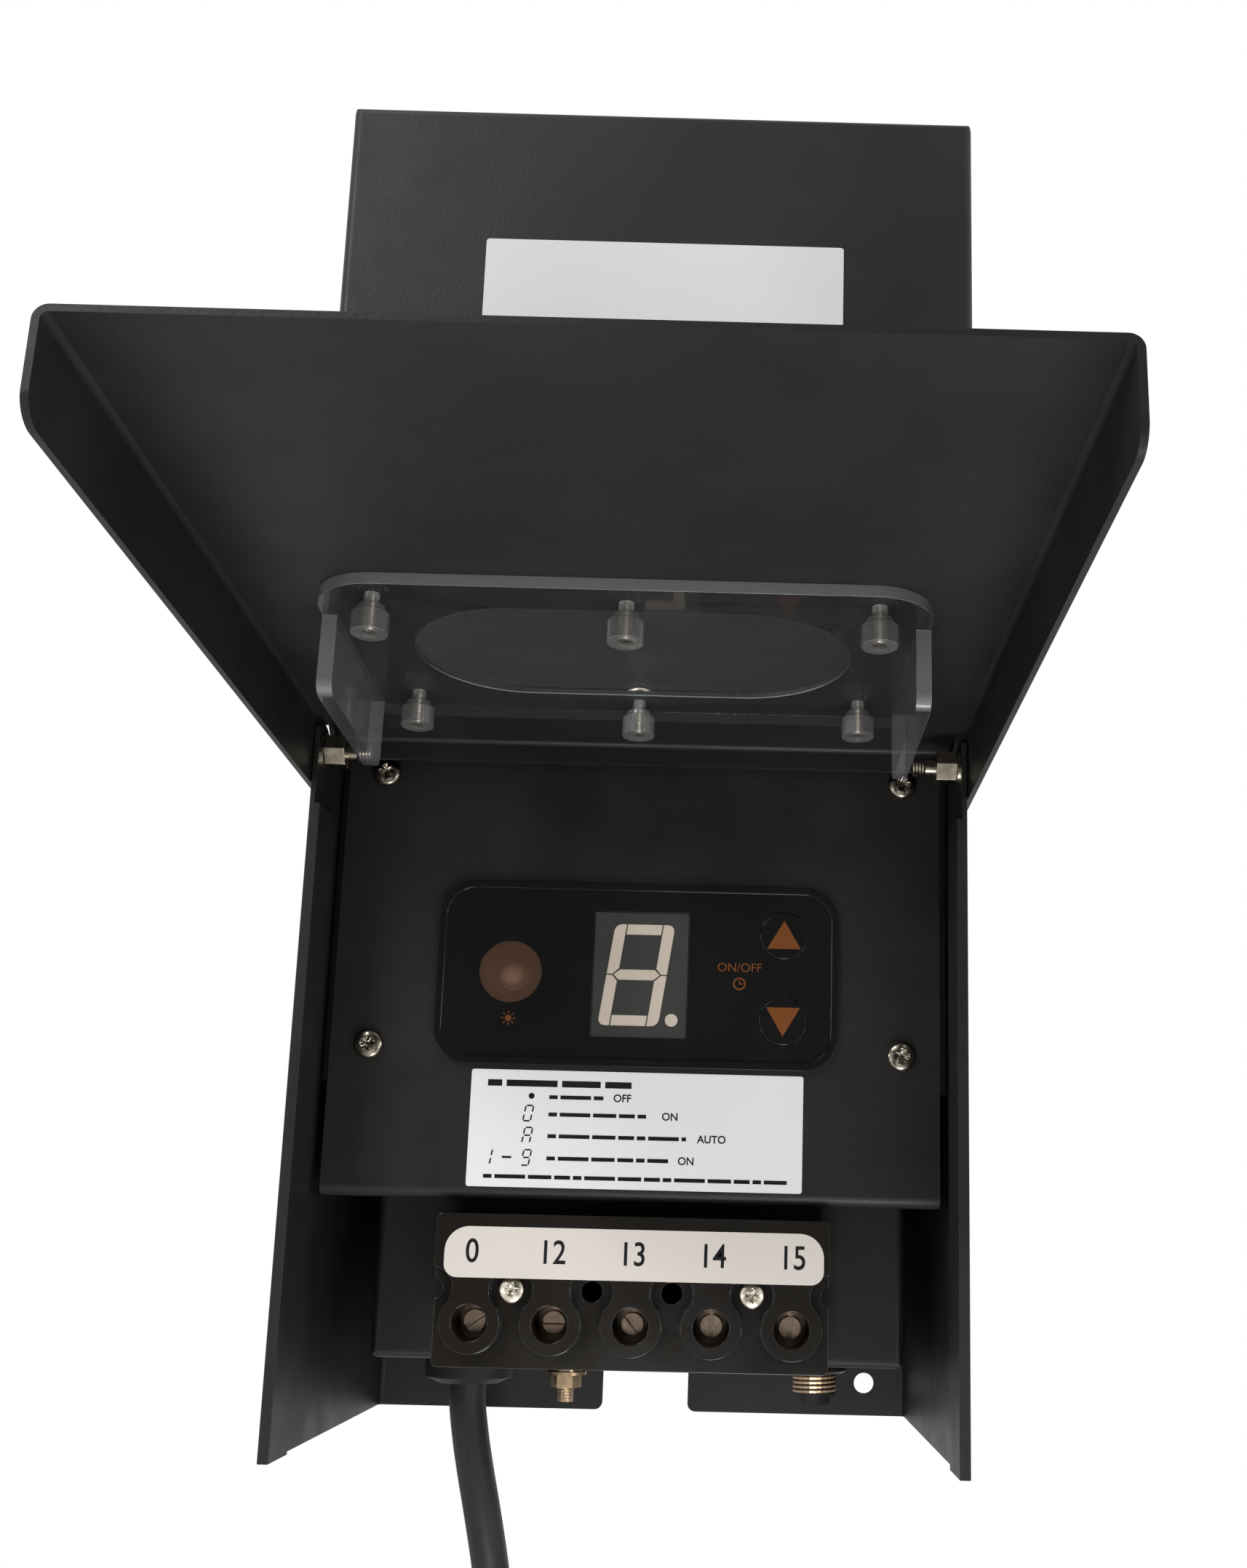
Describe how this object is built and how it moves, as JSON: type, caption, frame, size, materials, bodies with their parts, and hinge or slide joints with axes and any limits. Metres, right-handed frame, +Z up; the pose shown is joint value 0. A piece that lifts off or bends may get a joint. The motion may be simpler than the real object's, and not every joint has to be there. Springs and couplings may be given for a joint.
{
  "type": "low voltage landscape lighting transformer",
  "caption": "Wall-mounted low voltage lighting transformer in a folded steel box, with a swing-up door, digit timer panel, screw terminals and a coiled mains cord.",
  "frame": {"origin": "middle of the back plate's rear face, at mid-height and mid-width of the box", "axes": "+Z up, +Y into the wall, the front faces -Y, +X to the right as seen from the front"},
  "size_m": [0.1754, 0.2695, 0.578],
  "materials": {
    "powder_coat": "satin black powder coat with a fine texture",
    "screw_steel": "nickel-plated, bright",
    "bolt_steel": "zinc-plated, satin",
    "housing_black": "moulded, glossy",
    "moulded_black": "moulded, matt",
    "display_grey": "matt grey face",
    "segment_white": "diffusing resin",
    "smoked_window": "tinted, translucent",
    "clear_plastic": "clear, polished",
    "board_green": "solder-masked laminate",
    "capacitor_sleeve": "shrink sleeve",
    "brass": "machined",
    "lamination_steel": "varnished laminations",
    "copper_winding": "enamelled copper wire",
    "bobbin_plastic": "moulded nylon",
    "cord_rubber": "smooth jacket",
    "tie_plastic": "nylon strap"
  },
  "bodies": {
    "enclosure": {"enclosure_shell": "powder_coat", "cover": "powder_coat", "cover_screws": "screw_steel", "panel_brackets": "powder_coat", "control_panel": "powder_coat", "panel_screws": "screw_steel", "display_housing": "housing_black", "digit_module": "display_grey", "digit_segments": "segment_white", "photocell_window": "smoked_window", "photocell_sensor": "clear_plastic", "control_board": "board_green", "board_screws": "screw_steel", "relay": "moulded_black", "capacitor": "capacitor_sleeve", "controller_chip": "moulded_black", "terminal_chassis": "powder_coat", "terminal_block": "housing_black", "terminal_inserts": "brass", "upper_terminal_screws": "brass", "block_screws": "screw_steel", "cord_gland": "moulded_black", "gland_nut": "moulded_black", "earth_stud": "brass", "earth_nuts": "brass", "breaker": "moulded_black", "breaker_nut": "bolt_steel", "core_laminations": "lamination_steel", "bobbin": "bobbin_plastic", "primary_winding": "copper_winding", "secondary_winding": "copper_winding", "core_studs": "bolt_steel", "core_spacers": "bolt_steel", "core_nuts": "bolt_steel", "hinge_bolts": "bolt_steel", "hinge_washers": "bolt_steel", "hinge_nuts": "bolt_steel", "cord_run": "cord_rubber", "cord_coil": "cord_rubber", "coil_tie": "tie_plastic", "cord_tail": "cord_rubber", "plug_body": "cord_rubber", "plug_blades": "brass"},
    "door": {"door": "powder_coat", "door_lens": "clear_plastic", "lens_screws": "screw_steel", "lens_caps": "clear_plastic"},
    "button_up": {"button_up": "housing_black"},
    "button_down": {"button_down": "housing_black"},
    "breaker_reset": {"breaker_reset": "moulded_black"},
    "terminal_screw_1": {"terminal_screw_1": "brass"},
    "terminal_screw_2": {"terminal_screw_2": "brass"},
    "terminal_screw_3": {"terminal_screw_3": "brass"},
    "terminal_screw_4": {"terminal_screw_4": "brass"},
    "terminal_screw_5": {"terminal_screw_5": "brass"}
  },
  "joints": [
    {"name": "door_hinge", "type": "hinge", "parent": "enclosure", "child": "door", "pos_m": [0, -0.1125, -0.0035], "axis": [-1, 0, 0], "range_deg": [-92.6, 6]},
    {"name": "button_up_press", "type": "slide", "parent": "enclosure", "child": "button_up", "axis": [0, 1, 0], "range_m": [0, 0.0006], "stiffness_N_per_m": 400, "springref_m": -0.001},
    {"name": "button_down_press", "type": "slide", "parent": "enclosure", "child": "button_down", "axis": [0, 1, 0], "range_m": [0, 0.0006], "stiffness_N_per_m": 400, "springref_m": -0.001},
    {"name": "breaker_reset_press", "type": "slide", "parent": "enclosure", "child": "breaker_reset", "axis": [0, 0, 1], "range_m": [0, 0.002], "stiffness_N_per_m": 600, "springref_m": -0.001},
    {"name": "terminal_screw_1_turn", "type": "hinge", "parent": "enclosure", "child": "terminal_screw_1", "pos_m": [-0.0352, -0.08661, -0.13188], "axis": [0, 1, 0], "range_deg": [0, 1080]},
    {"name": "terminal_screw_2_turn", "type": "hinge", "parent": "enclosure", "child": "terminal_screw_2", "pos_m": [-0.017, -0.08661, -0.13188], "axis": [0, 1, 0], "range_deg": [0, 1080]},
    {"name": "terminal_screw_3_turn", "type": "hinge", "parent": "enclosure", "child": "terminal_screw_3", "pos_m": [0.0012, -0.08661, -0.13188], "axis": [0, 1, 0], "range_deg": [0, 1080]},
    {"name": "terminal_screw_4_turn", "type": "hinge", "parent": "enclosure", "child": "terminal_screw_4", "pos_m": [0.0194, -0.08661, -0.13188], "axis": [0, 1, 0], "range_deg": [0, 1080]},
    {"name": "terminal_screw_5_turn", "type": "hinge", "parent": "enclosure", "child": "terminal_screw_5", "pos_m": [0.0376, -0.08661, -0.13188], "axis": [0, 1, 0], "range_deg": [0, 1080]}
  ]
}
